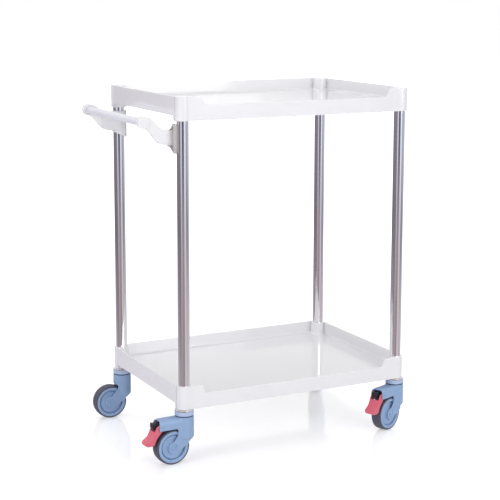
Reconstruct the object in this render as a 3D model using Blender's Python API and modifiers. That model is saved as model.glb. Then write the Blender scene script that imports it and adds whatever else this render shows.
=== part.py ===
# Two-shelf ward cart: two moulded trays on four tubular posts, a push handle at one end
# and four swivel casters, the front pair with brake pedals.
# Metres, +Z up. X runs along the cart with the handle at -X, the lowered rims face -Y.
# The origin is on the floor under the middle of the cart's box.

import bpy
import bmesh
from math import sin, cos, pi, radians, hypot, atan2, acos
from mathutils import Matrix, Vector

# Driving dimensions
post_spacing_x = 0.632      # between the post axes, along the cart
post_spacing_y = 0.423      # between the post axes, across the cart
post_diameter = 0.030
post_wall = 0.0012
fit_gap = 0.0003            # clearance between pieces that sit in one another

tray_height = 0.060
lower_tray_bottom = 0.139   # skirt edge above the floor
upper_tray_bottom = 0.870
tray_wall = 0.003
tray_draft = 0.0015         # how far the well narrows on its way down
sleeve_wall = 0.0042        # plastic round each post
skirt_recess = 0.0013       # the skirts stand this much inside the corner sleeves
well_depth = 0.033
well_fillet = 0.007
well_corner = 0.016
side_skirt_rise = 0.012     # the end skirts are this much shallower than the long ones
notch_depth = 0.022         # lowered front rim
notch_inset = 0.044         # from the post axis to the top of the rim's slope
notch_slope = 0.008
rib_thickness = 0.0025
rib_height = 0.008
rib_rows = 2
rib_columns = 3
post_seat = 0.050           # how far a post reaches into the top tray
plug_flange = 0.0026
plug_length = 0.028
insert_length = 0.032
insert_groove = 0.0012

wheel_diameter = 0.092
tyre_width = 0.0300
tyre_height = 0.0052        # rubber proud of the rim's flange
tyre_seat = 0.0033          # depth of the channel that holds the tyre
rim_flange = 0.0022
axle_diameter = 0.008
axle_head = 0.019
axle_head_depth = 0.0015
hub_diameter = 0.030
hub_side_gap = 0.0008
web_recess = 0.004
groove_width = 0.0012
trail = 0.038               # from the swivel axis to the axle
fork_width = 0.0400
fork_cheek = 0.0038
fork_edge_round = 0.0022
column_diameter = 0.049
seam_gap = 0.0006           # between the fork's top and the fixed collar
collar_height = 0.0172
collar_step = 0.0010
wheel_clearance = 0.004     # round the tyre, inside the fork
boss_radius = 0.0155
kingpin_diameter = 0.011
kingpin_head = 0.018
kingpin_head_height = 0.0035
kingpin_bridge = 0.0346     # fork material between the kingpin's head and the fork's top
kingpin_reach = 0.024       # into the insert in the post
bearing_diameter = 0.034
bearing_height = 0.0032
hood_reach = 0.078          # from the swivel axis to the hood's front edge
hood_wall = 0.0035
hood_round = 0.0080         # rounding across the hood's shoulders
opening_top = 0.0945        # height of the cut-out over the wheel
pedal_pin_x = 0.070         # brake pin ahead of the swivel axis
pedal_pin_z = 0.1035
pedal_pin_diameter = 0.006
pedal_reach = 0.1110        # from the swivel axis to the pedal's toe
pedal_width = 0.0315
pedal_flank = 0.0030
cam_width = 0.0160
cam_hub_radius = 0.0085
shoe_gap = 0.0008           # between the pressed brake shoe and the tread

handle_reach = 0.096        # from the post axes to the grip's axis
handle_height = 0.868
grip_diameter = 0.020
grip_wall = 0.0016
grip_span = 0.364           # between the inner faces of the bracket bosses
grip_boss_radius = 0.0155
grip_boss_width = 0.0138
grip_socket = 0.0085
ring_width = 0.0055
ring_wall = 0.0026
arm_thickness = 0.0090
arm_step = 0.0012           # the boss stands this much proud of the arm's end
arm_edge_round = 0.0018
saddle_wall = 0.0040
saddle_height = 0.0685
saddle_drop = 0.010         # from the top tray's skirt down to the saddle
saddle_outer_sweep = 94.0   # degrees from across the cart round the post's outer side
saddle_inner_sweep = 43.0   # and round its inner side
pad_thickness = 0.0017
pad_height = 0.046
screw_diameter = 0.004
screw_head = 0.008
screw_head_depth = 0.0022
screw_reach = 0.007

# Facets round a turn, by size of the piece
facets_small = 10
facets_medium = 14
facets_bore = 20            # a count of its own keeps a bore's facets off its sleeve's
facets_large = 24

# How each caster stands in the photograph: degrees turned about its post, and its brake
casters = {
    "front_left": (-1, -1, 2.6, True),
    "front_right": (1, -1, 21.0, True),
    "rear_left": (-1, 1, -1.2, False),
    "rear_right": (1, 1, 52.0, False),
}

# Sizes that follow from the driving dimensions
post_radius = post_diameter / 2
post_bore = post_radius - post_wall
sleeve_bore = post_radius + fit_gap
sleeve_radius = sleeve_bore + sleeve_wall
face_offset = sleeve_radius - skirt_recess
floor_top = tray_height - well_depth
floor_bottom = floor_top - tray_wall
wheel_radius = wheel_diameter / 2
rim_radius = wheel_radius - tyre_height
channel_radius = rim_radius - tyre_seat
cheek_inner = fork_width / 2 - fork_cheek
clear_radius = wheel_radius + wheel_clearance
collar_bottom = lower_tray_bottom - fit_gap - collar_height
column_top = collar_bottom - seam_gap
column_radius = column_diameter / 2
bearing_floor = column_top - bearing_height + fit_gap
head_seat = column_top - kingpin_bridge
saddle_inner = post_radius + pad_thickness + 2 * fit_gap
saddle_outer = saddle_inner + saddle_wall
saddle_centre = upper_tray_bottom - saddle_drop - saddle_height / 2

# The box of the whole cart, which sets the origin
left_turn, right_turn = (radians(casters[corner][2]) for corner in ("front_left", "front_right"))
pedal_left = pedal_reach * cos(left_turn) + pedal_width / 2 * sin(left_turn)
pedal_front = pedal_reach * sin(right_turn) + pedal_width / 2 * cos(right_turn)
box_left = post_spacing_x / 2 + max(handle_reach + grip_boss_radius, pedal_left)
box_right = post_spacing_x / 2 + max(sleeve_radius, column_radius)
box_front = post_spacing_y / 2 + max(sleeve_radius, pedal_front)
box_back = post_spacing_y / 2 + max(sleeve_radius, column_radius)
origin_shift = Vector(((box_left - box_right) / 2, (box_front - box_back) / 2, 0))


def hole(radius, steps):
    """Radius of a faceted hole whose flats clear a round piece of this radius."""
    return (radius + fit_gap) / cos(pi / steps)


# Scene, collections and materials
for old in list(bpy.data.objects):
    bpy.data.objects.remove(old, do_unlink=True)

cart = bpy.data.collections.new("two_shelf_cart")
cutters = bpy.data.collections.new("cutters")
bpy.context.scene.collection.children.link(cart)
bpy.context.scene.collection.children.link(cutters)


def finish(name, colour, roughness, metallic=0.0):
    """A plain Principled material."""
    material = bpy.data.materials.new(name)
    material.use_nodes = True
    shader = material.node_tree.nodes["Principled BSDF"]
    shader.inputs["Base Color"].default_value = (*colour, 1.0)
    shader.inputs["Roughness"].default_value = roughness
    shader.inputs["Metallic"].default_value = metallic
    return material


white_abs = finish("white_abs", (0.84, 0.85, 0.87), 0.22)
stainless = finish("stainless_tube", (0.62, 0.61, 0.63), 0.16, 1.0)
blue_nylon = finish("blue_nylon", (0.27, 0.39, 0.60), 0.42)
grey_rubber = finish("grey_rubber", (0.09, 0.09, 0.11), 0.65)
red_nylon = finish("red_nylon", (0.78, 0.14, 0.20), 0.40)
black_nylon = finish("black_nylon", (0.02, 0.02, 0.025), 0.45)
zinc_steel = finish("zinc_steel", (0.55, 0.56, 0.58), 0.35, 1.0)
pale_pad = finish("pale_pad", (0.70, 0.66, 0.60), 0.60)
grip_plastic = finish("grip_plastic", (0.74, 0.74, 0.82), 0.30)


def put(name, mesh, material, parent, place=(0, 0, 0), turn=(0, 0, 0), home=cart):
    """An object from a mesh, placed under its parent empty."""
    thing = bpy.data.objects.new(name, mesh)
    home.objects.link(thing)
    thing.parent = parent
    thing.location = place
    thing.rotation_euler = turn
    if material:
        mesh.materials.append(material)
    if home is cutters:
        thing.hide_render = True
        thing.display_type = "WIRE"
    mesh.shade_smooth()
    mesh.set_sharp_from_angle(angle=radians(35))
    return thing


def empty(name, parent, place, turn_z=0.0):
    """A joint's or sub-assembly's own frame."""
    thing = bpy.data.objects.new(name, None)
    cart.objects.link(thing)
    thing.parent = parent
    thing.location = place
    thing.rotation_euler = (0, 0, turn_z)
    return thing


def arc(centre, radius, start, end, count):
    """Points along an arc, angles in degrees."""
    steps = [start + (end - start) * i / (count - 1) for i in range(count)]
    return [(centre[0] + radius * cos(radians(a)), centre[1] + radius * sin(radians(a))) for a in steps]


def upright_plate(name, outline, thickness):
    """A flat outline in X and Z, given its thickness along Y on both sides of the middle."""
    curve = bpy.data.curves.new(name, "CURVE")
    curve.dimensions = "2D"
    curve.fill_mode = "BOTH"
    curve.extrude = thickness / 2
    spline = curve.splines.new("POLY")
    spline.points.add(len(outline) - 1)
    for point, (x, z) in zip(spline.points, outline):
        point.co = (x, z, 0, 1)
    spline.use_cyclic_u = True
    guide = bpy.data.objects.new(name + "_outline", curve)
    cutters.objects.link(guide)
    drawn = bpy.context.evaluated_depsgraph_get()
    mesh = bpy.data.meshes.new_from_object(guide.evaluated_get(drawn))
    bpy.data.objects.remove(guide, do_unlink=True)
    solid = bmesh.new()
    solid.from_mesh(mesh)
    bmesh.ops.remove_doubles(solid, verts=solid.verts, dist=1e-6)
    bmesh.ops.dissolve_limit(solid, angle_limit=radians(1), verts=solid.verts, edges=solid.edges)
    bmesh.ops.rotate(solid, verts=solid.verts, matrix=Matrix.Rotation(pi / 2, 3, "X"))
    bmesh.ops.recalc_face_normals(solid, faces=solid.faces)
    solid.to_mesh(mesh)
    solid.free()
    return mesh


def turned_piece(name, profile, material, parent, place=(0, 0, 0), turn=(0, 0, 0),
                 steps=facets_medium, closed=True, home=cart):
    """A turned shape from (radius, height) points that run down its outer side."""
    mesh = bpy.data.meshes.new(name)
    solid = bmesh.new()
    rail = [solid.verts.new((r, 0, z)) for r, z in profile]
    for a, b in zip(rail, rail[1:]):
        solid.edges.new((a, b))
    if closed:
        solid.edges.new((rail[-1], rail[0]))
    solid.to_mesh(mesh)
    solid.free()
    thing = put(name, mesh, material, parent, place, turn, home)
    spin = thing.modifiers.new("spin", "SCREW")
    spin.axis = "Z"
    spin.steps = steps
    spin.render_steps = steps
    spin.use_merge_vertices = True
    spin.merge_threshold = 1e-5
    spin.use_smooth_shade = True
    return thing


def rod(name, radius, bottom, top, material, parent, place=(0, 0, 0), turn=(0, 0, 0), steps=facets_medium, home=cart):
    """A plain round bar between two heights."""
    mesh = bpy.data.meshes.new(name)
    solid = bmesh.new()
    lift = Matrix.Translation((0, 0, (bottom + top) / 2))
    bmesh.ops.create_cone(solid, cap_ends=True, segments=steps, radius1=radius, radius2=radius,
                          depth=top - bottom, matrix=lift)
    solid.to_mesh(mesh)
    solid.free()
    return put(name, mesh, material, parent, place, turn, home)


def block(name, low, high, parent, home=cutters, material=None):
    """A box between two corners."""
    mesh = bpy.data.meshes.new(name)
    solid = bmesh.new()
    low, high = Vector(low), Vector(high)
    size = Matrix.Diagonal((*(high - low), 1.0))
    bmesh.ops.create_cube(solid, size=1.0, matrix=Matrix.Translation((low + high) / 2) @ size)
    solid.to_mesh(mesh)
    solid.free()
    return put(name, mesh, material, parent, home=home)


def rounded_slab(name, half_x, half_y, bottom, top, corner, parent, draft=0.0, fillet=0.0, home=cutters,
                 material=None, corner_steps=5):
    """A slab with rounded upright edges, a draft and, if asked, a rounded lower edge."""
    mesh = bpy.data.meshes.new(name)
    solid = bmesh.new()
    bmesh.ops.create_cube(solid, size=1.0)
    for vert in solid.verts:
        inset = draft if vert.co.z < 0 else 0.0
        vert.co.x = (half_x - inset) * (1 if vert.co.x > 0 else -1)
        vert.co.y = (half_y - inset) * (1 if vert.co.y > 0 else -1)
        vert.co.z = top if vert.co.z > 0 else bottom
    upright = [e for e in solid.edges if abs(e.verts[0].co.z - e.verts[1].co.z) > (top - bottom) / 2]
    bmesh.ops.bevel(solid, geom=upright, offset=corner, segments=corner_steps, profile=0.5,
                    affect="EDGES", material=-1)
    if fillet:
        lower = [e for e in solid.edges if all(abs(v.co.z - bottom) < 1e-6 for v in e.verts)]
        bmesh.ops.bevel(solid, geom=lower, offset=fillet, segments=3, profile=0.5,
                        affect="EDGES", material=-1)
    bmesh.ops.recalc_face_normals(solid, faces=solid.faces)
    solid.to_mesh(mesh)
    solid.free()
    return put(name, mesh, material, parent, home=home)


def combine(thing, other, operation):
    """An exact Boolean that stays on the object."""
    step = thing.modifiers.new(operation.lower(), "BOOLEAN")
    step.operation = operation
    step.solver = "EXACT"
    step.object = other
    return thing


def soften(thing, width, segments=2, angle=50):
    """Rounded edges."""
    bevel = thing.modifiers.new("edges", "BEVEL")
    bevel.width = width
    bevel.segments = segments
    bevel.limit_method = "ANGLE"
    bevel.angle_limit = radians(angle)
    bevel.use_clamp_overlap = True
    return thing


root = empty("cart_frame", None, origin_shift)
corners = [(sx * post_spacing_x / 2, sy * post_spacing_y / 2) for sx in (-1, 1) for sy in (-1, 1)]


# Moulded trays
def tray(name, bottom, posts_pass_through):
    """A tray with corner sleeves, a lowered front rim and ribs under its floor."""
    frame = empty(name + "_frame", root, (0, 0, bottom))
    half_x = post_spacing_x / 2 + face_offset
    half_y = post_spacing_y / 2 + face_offset
    body = rounded_slab(name, half_x, half_y, 0, tray_height, face_offset - skirt_recess, frame, home=cart,
                        material=white_abs, corner_steps=4)
    well = rounded_slab(name + "_well", half_x - tray_wall, half_y - tray_wall, floor_top, tray_height + 0.002,
                        well_corner, frame, draft=tray_draft, fillet=well_fillet)
    hollow = rounded_slab(name + "_hollow", half_x - tray_wall, half_y - tray_wall, -0.002, floor_bottom,
                          well_corner, frame)
    for index, (x, y) in enumerate(corners):
        sleeve = rod(f"{name}_sleeve_{index}", sleeve_radius, 0, tray_height, None, frame, (x, y, 0),
                     steps=facets_large, home=cutters)
        island = rod(f"{name}_island_{index}", sleeve_radius - fit_gap, -0.01, tray_height + 0.01, None, frame,
                     (x, y, 0), steps=facets_large, home=cutters)
        combine(body, sleeve, "UNION")
        combine(well, island, "DIFFERENCE")
        combine(hollow, island, "DIFFERENCE")
    for row in range(rib_rows):
        y = post_spacing_y * ((row + 1) / (rib_rows + 1) - 0.5)
        rib = block(f"{name}_long_rib_{row}", (-half_x, y - rib_thickness / 2, floor_bottom - rib_height),
                    (half_x, y + rib_thickness / 2, floor_top), frame)
        combine(hollow, rib, "DIFFERENCE")
    for column in range(rib_columns):
        x = post_spacing_x * ((column + 1) / (rib_columns + 1) - 0.5)
        rib = block(f"{name}_cross_rib_{column}", (x - rib_thickness / 2, -half_y, floor_bottom - rib_height),
                    (x + rib_thickness / 2, half_y, floor_top), frame)
        combine(hollow, rib, "DIFFERENCE")
    combine(body, well, "DIFFERENCE")
    combine(body, hollow, "DIFFERENCE")
    slope = post_spacing_x / 2 - notch_inset
    rim = tray_height - notch_depth
    mouth = [(-slope, tray_height), (-slope + notch_slope, rim), (slope - notch_slope, rim), (slope, tray_height),
             (slope + notch_slope * 0.3, tray_height + 0.008), (-slope - notch_slope * 0.3, tray_height + 0.008)]
    notch = put(name + "_notch", upright_plate(name + "_notch", mouth, 0.02), None, frame,
                (0, -half_y, 0), home=cutters)
    combine(body, notch, "DIFFERENCE")
    for side in (-1, 1):
        reach = post_spacing_y / 2 - sleeve_radius * 0.8
        rise = block(f"{name}_end_rise_{side + 1}", (side * half_x - 0.008, -reach, -0.002),
                     (side * half_x + 0.008, reach, side_skirt_rise), frame)
        combine(body, rise, "DIFFERENCE")
    bore_top = tray_height + 0.002 if posts_pass_through else post_seat + plug_flange + 2 * fit_gap
    for index, (x, y) in enumerate(corners):
        bore = rod(f"{name}_bore_{index}", sleeve_bore, -0.002, bore_top, None, frame, (x, y, 0),
                   steps=facets_bore, home=cutters)
        combine(body, bore, "DIFFERENCE")
    return body


tray("lower_tray", lower_tray_bottom, True)
tray("top_tray", upper_tray_bottom, False)


# Posts with their plugs and inserts
post_foot = lower_tray_bottom
post_top = upper_tray_bottom + post_seat


def inward(sy):
    """Direction from a handle post towards its saddle's middle, in degrees."""
    return -sy * (90 + (saddle_outer_sweep - saddle_inner_sweep) / 2)


def post(name, sx, sy):
    """One stainless tube with the plug in its head and the insert in its foot."""
    x, y = sx * post_spacing_x / 2, sy * post_spacing_y / 2
    tube = turned_piece(f"post_{name}", [(post_radius, post_top), (post_radius, post_foot),
                                         (post_bore, post_foot), (post_bore, post_top)],
                        stainless, root, (x, y, 0), steps=facets_large)
    if sx < 0:
        drill = rod(f"post_{name}_drill", hole(screw_diameter / 2, facets_small), 0, post_radius + 0.01, None, root,
                    (x, y, saddle_centre), (pi / 2, 0, radians(inward(sy) + 90)), steps=facets_small, home=cutters)
        combine(tube, drill, "DIFFERENCE")
    inner = post_bore - fit_gap
    flange = post_top + fit_gap
    turned_piece(f"post_plug_{name}",
                 [(0, flange + plug_flange), (post_radius - fit_gap, flange + plug_flange),
                  (post_radius - fit_gap, flange), (inner, flange), (inner - 0.001, flange - plug_length),
                  (0, flange - plug_length)],
                 black_nylon, root, (x, y, 0), closed=False)
    bore = hole(kingpin_diameter / 2, facets_medium)
    top = post_foot + insert_length
    groove = inner - insert_groove
    turned_piece(f"post_insert_{name}",
                 [(inner, top), (inner, top - 0.012), (groove, top - 0.014), (groove, top - 0.018),
                  (inner, top - 0.020), (inner, post_foot), (bore, post_foot), (bore, top)],
                 black_nylon, root, (x, y, 0))


for corner, (sx, sy, angle, braked) in casters.items():
    post(corner, sx, sy)


# Casters
def tangent_point(centre, radius, point, side):
    """Where a line from a point touches a circle."""
    dx, dz = point[0] - centre[0], point[1] - centre[1]
    reach = hypot(dx, dz)
    angle = atan2(dz, dx) + side * acos(radius / reach)
    return (centre[0] + radius * cos(angle), centre[1] + radius * sin(angle)), angle * 180 / pi


def fork(name, frame, braked):
    """The caster's moulded fork: column, cheeks and, on a braked one, the hood."""
    axle = (-trail, wheel_radius)
    foot = (0.004, 0.052)
    low, low_angle = tangent_point(axle, boss_radius, foot, -1)
    start = low_angle - 360 if low_angle > 0 else low_angle
    outline = [(foot[0], column_top), foot]
    outline += arc(axle, boss_radius, start, -270, 9)
    if braked:
        hook = 0.008
        outline += [(-0.0275, 0.0745)]
        outline += arc((-0.0335, opening_top - hook), hook, 0, 90, 5)
        outline += arc((-hood_reach + 0.003, opening_top + 0.003), 0.003, 270, 180, 4)
        outline += [(-hood_reach, column_top - 0.010)]
        outline += arc((-hood_reach + 0.009, column_top - 0.010), 0.009, 170, 95, 5)
        outline += [(-column_radius, column_top)]
    else:
        outline += [(-0.0290, 0.0720)]
        outline += arc(axle, clear_radius + 0.001, 60, 72, 4)
        outline += [(-column_radius + 0.0023, column_top)]
    body = put(f"fork_{name}", upright_plate(f"fork_{name}", outline, fork_width), blue_nylon, frame)
    soften(body, fork_edge_round, segments=1)
    for side in (-1, 1):
        shoulder = arc((side * (fork_width / 2 - hood_round), column_top - hood_round), hood_round,
                       90 - side * 87, 90 - side * 3, 5)
        shoulder += [(shoulder[-1][0], column_top + 0.002), (side * (fork_width / 2 + 0.002), column_top + 0.002),
                     (side * (fork_width / 2 + 0.002), shoulder[0][1])]
        mesh = upright_plate(f"fork_{name}_shoulder_{side + 1}", shoulder, 0.3)
        cutter = put(mesh.name, mesh, None, frame, turn=(0, 0, pi / 2), home=cutters)
        combine(body, cutter, "DIFFERENCE")
    lean = [(0, column_top), (column_radius, column_top), (column_radius, 0.066), (0.011, 0.050), (0, 0.050)]
    column = turned_piece(f"fork_{name}_column", lean, None, frame, steps=facets_bore, closed=False, home=cutters)
    if not braked:
        trim = block(f"fork_{name}_trim", (-0.03, -0.04, 0.03), (-0.010, 0.04, 0.075), frame)
        combine(column, trim, "DIFFERENCE")
    combine(body, column, "UNION")
    slot = 2 * cheek_inner
    wheel_room = arc(axle, clear_radius, -60, 90, 12)
    if braked:
        ceiling = column_top - hood_wall
        wheel_room = arc(axle, clear_radius, -60, 55, 9)
        wheel_room += arc((-0.022, ceiling - 0.005), 0.005, 10, 90, 4)
        wheel_room += [(-hood_reach - 0.02, ceiling), (-hood_reach - 0.02, -0.02), (0, -0.02)]
    else:
        wheel_room += [(-0.1, clear_radius + wheel_radius), (-0.1, -0.02), (0, -0.02)]
    room = put(f"fork_{name}_wheel_room", upright_plate(f"fork_{name}_wheel_room", wheel_room, slot), None, frame,
               home=cutters)
    combine(body, room, "DIFFERENCE")
    side = (pi / 2, 0, 0)
    span = fork_width / 2 + 0.01
    if braked:
        pin_hole = rod(f"fork_{name}_pin_hole", hole(pedal_pin_diameter / 2, facets_small), -span, span, None, frame,
                       (-pedal_pin_x, 0, pedal_pin_z), side, steps=facets_small, home=cutters)
        combine(body, pin_hole, "DIFFERENCE")
    axle_hole = rod(f"fork_{name}_axle_hole", hole(axle_diameter / 2, facets_small), -span, span, None, frame,
                    (-trail, 0, wheel_radius), side, steps=facets_small, home=cutters)
    combine(body, axle_hole, "DIFFERENCE")
    for end in (-1, 1):
        seat = rod(f"fork_{name}_head_seat_{end + 1}", hole(axle_head / 2, facets_medium),
                   fork_width / 2 - axle_head_depth, fork_width / 2 + 0.01, None, frame,
                   (-trail, 0, wheel_radius), (end * pi / 2, 0, 0), home=cutters)
        combine(body, seat, "DIFFERENCE")
    seat, bore, head = (hole(d / 2, facets_small) for d in (bearing_diameter, kingpin_diameter, kingpin_head))
    pin = turned_piece(f"fork_{name}_kingpin_hole",
                       [(0, column_top + 0.01), (seat, column_top + 0.01), (seat, bearing_floor - fit_gap),
                        (bore, bearing_floor - fit_gap), (bore, head_seat), (head, head_seat),
                        (head, foot[1] + 0.008), (0, foot[1] + 0.008)],
                       None, frame, steps=facets_small, closed=False, home=cutters)
    combine(body, pin, "DIFFERENCE")
    return body


def wheel(name, frame):
    """Rim and tyre on an empty at the axle, with the axle bolt in the fork."""
    spin = empty(f"wheel_{name}", frame, (-trail, 0, wheel_radius))
    side = (pi / 2, 0, 0)
    half = tyre_width / 2
    crown = 0.0045
    inner = half - rim_flange - fit_gap
    tyre_side = rim_radius + fit_gap
    tread = [(wheel_radius - crown + crown * cos(radians(a)), half - crown + crown * sin(radians(a)))
             for a in (90, 45, 0)]
    tread += [(r, -z) for r, z in reversed(tread)]
    profile = [(tyre_side, half)] + tread + [(tyre_side, -half), (tyre_side, -inner),
                                             (channel_radius + fit_gap, -inner), (channel_radius + fit_gap, inner),
                                             (tyre_side, inner)]
    turned_piece(f"tyre_{name}", profile, grey_rubber, spin, turn=side, steps=facets_bore)
    web = half - web_recess
    hub = hub_diameter / 2
    bore = hole(axle_diameter / 2, facets_bore)
    hub_face = cheek_inner - hub_side_gap
    ring = rim_radius - 0.0075
    face = [(bore, hub_face), (hub, hub_face), (hub + 0.001, web), (ring - groove_width, web), (ring, half),
            (rim_radius, half), (rim_radius, half - rim_flange), (channel_radius, half - rim_flange)]
    turned_piece(f"wheel_rim_{name}", face + [(r, -z) for r, z in reversed(face)], blue_nylon, spin, turn=side,
                 steps=facets_bore)
    head = fork_width / 2 + 0.0006
    pin, cap = axle_diameter / 2, axle_head / 2
    inner_face = fork_width / 2 - axle_head_depth + fit_gap
    turned_piece(f"axle_{name}",
                 [(0, head), (cap - 0.0008, head), (cap, inner_face), (pin, inner_face),
                  (pin, -inner_face), (cap, -inner_face), (cap - 0.0008, -head), (0, -head)],
                 zinc_steel, frame, (-trail, 0, wheel_radius), side, closed=False)
    return spin


def swivel(name, place):
    """The fixed part of a caster: collar and kingpin. The bearing turns with the fork."""
    top = lower_tray_bottom - fit_gap
    edge = column_radius
    bore = hole(kingpin_diameter / 2, facets_large)
    turned_piece(f"caster_collar_{name}",
                 [(edge - collar_step, top), (edge - collar_step, top - 0.0035), (edge, top - 0.0045),
                  (edge, collar_bottom), (bore, collar_bottom), (bore, top)],
                 blue_nylon, root, place, steps=facets_large)
    stem, head = kingpin_diameter / 2, kingpin_head / 2
    under = head_seat - fit_gap
    tip = post_foot + kingpin_reach
    turned_piece(f"kingpin_{name}",
                 [(0, tip), (stem, tip), (stem, under), (head, under),
                  (head - 0.0008, under - kingpin_head_height), (0, under - kingpin_head_height)],
                 zinc_steel, root, place, closed=False)


def brake(name, frame):
    """Pedal and cam on an empty at the brake pin, and the pin in the hood's cheeks."""
    hinge = empty(f"brake_{name}", frame, (-pedal_pin_x, 0, pedal_pin_z))
    ear = (-pedal_pin_x, pedal_pin_z)

    def local(points):
        return [(x - ear[0], z - ear[1]) for x, z in points]

    outline = arc(ear, 0.0075, -40, 130, 9)
    outline += [(-0.0850, 0.1050), (-0.0905, 0.0935), (-0.1000, 0.0745)]
    outline += arc((-0.1150, 0.0745), 0.0095, -10, -60, 4)
    outline += [(-pedal_reach, 0.0630)]
    outline += arc((-0.1030, 0.0655), 0.0060, 220, 300, 4)
    outline += arc((-trail, wheel_radius), 0.0545, 165, 132, 7)
    pedal = put(f"brake_pedal_{name}", upright_plate(f"brake_pedal_{name}", local(outline), pedal_width),
                red_nylon, hinge)
    soften(pedal, 0.0010, segments=1)
    inside = [(-0.055, 0.120), (-0.110, 0.120), (-0.0985, 0.0965), (-0.0870, 0.0940),
              (-0.0962, 0.0760), (-0.0968, 0.0700), (-0.0930, 0.0590), (-0.040, 0.0590)]
    channel = put(f"brake_pedal_{name}_channel",
                  upright_plate(f"brake_pedal_{name}_channel", local(inside), pedal_width - 2 * pedal_flank),
                  None, hinge, home=cutters)
    combine(pedal, channel, "DIFFERENCE")
    side = (pi / 2, 0, 0)
    bore = rod(f"brake_pedal_{name}_bore", hole(pedal_pin_diameter / 2, facets_small), -0.03, 0.03, None, hinge,
               turn=side, steps=facets_small, home=cutters)
    combine(pedal, bore, "DIFFERENCE")
    nose = arc((-trail, wheel_radius), wheel_radius + shoe_gap, 131, 118, 5)
    nose += arc(ear, cam_hub_radius, -25, 70, 6)
    nose += [(-0.0800, 0.1130), (-0.0850, 0.1140), (-0.0868, 0.1105), (-0.0900, 0.1150), (-0.0925, 0.1130),
             (-0.0930, 0.1030), (-0.0900, 0.0975), (-0.0840, 0.0960)]
    cam = put(f"brake_cam_{name}", upright_plate(f"brake_cam_{name}", local(nose), cam_width), black_nylon, hinge)
    soften(cam, 0.0008, segments=1)
    combine(cam, bore, "DIFFERENCE")
    end = fork_width / 2 - fit_gap
    rod(f"brake_pin_{name}", pedal_pin_diameter / 2, -end, end, zinc_steel, frame,
        (-pedal_pin_x, 0, pedal_pin_z), side, steps=facets_small)


for corner, (sx, sy, angle, braked) in casters.items():
    place = (sx * post_spacing_x / 2, sy * post_spacing_y / 2, 0)
    swivel(corner, place)
    turning = empty(f"swivel_{corner}", root, place, radians(angle))
    fork(corner, turning, braked)
    bore = hole(kingpin_diameter / 2, facets_medium)
    turned_piece(f"swivel_bearing_{corner}",
                 [(bearing_diameter / 2, bearing_floor + bearing_height), (bearing_diameter / 2, bearing_floor),
                  (bore, bearing_floor), (bore, bearing_floor + bearing_height)],
                 zinc_steel, turning)
    wheel(corner, turning)
    if braked:
        brake(corner, turning)


# Push handle
grip_x = -post_spacing_x / 2 - handle_reach
boss_inner = grip_span / 2
boss_middle = boss_inner + grip_boss_width / 2
side_turn = (pi / 2, 0, 0)
grip_end = boss_inner + grip_socket - fit_gap
turned_piece("handle_grip",
             [(grip_diameter / 2, grip_end), (grip_diameter / 2, -grip_end),
              (grip_diameter / 2 - grip_wall, -grip_end), (grip_diameter / 2 - grip_wall, grip_end)],
             grip_plastic, root, (grip_x, 0, handle_height), side_turn)


# Stations along a bracket's arm: share of the reach, share of the drop to the saddle, half depth
arm_stations = [(0.00, 0.02, grip_boss_radius - arm_step), (0.14, 0.08, 0.0168), (0.27, 0.24, 0.0205),
                (0.40, 0.62, 0.0215), (0.52, 0.90, 0.0185), (0.64, 1.05, 0.0172), (0.76, 1.08, 0.0190),
                (0.84, 1.06, 0.0235), (0.90, 1.03, 0.0290), (0.97, 1.00, saddle_height / 2 - 0.0025)]


def arm(name, sy):
    """The swan-necked arm from its boss at the grip to its root on the saddle."""
    drop = handle_height - saddle_centre
    spine = [(grip_x + along * handle_reach, handle_height - down * drop, half) for along, down, half in arm_stations]
    outline = [(x, z + half) for x, z, half in spine] + [(x, z - half) for x, z, half in reversed(spine)]
    mesh = upright_plate(name, outline, arm_thickness)
    boss_y, root_y = sy * boss_middle, sy * (post_spacing_y / 2 - saddle_outer + saddle_wall / 2)
    straight = (grip_boss_radius + ring_wall) / handle_reach
    for vert in mesh.vertices:
        share = max(0, ((vert.co.x - grip_x) / handle_reach - straight) / (1 - straight))
        vert.co.y += boss_y + (root_y - boss_y) * share
    return mesh


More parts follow.
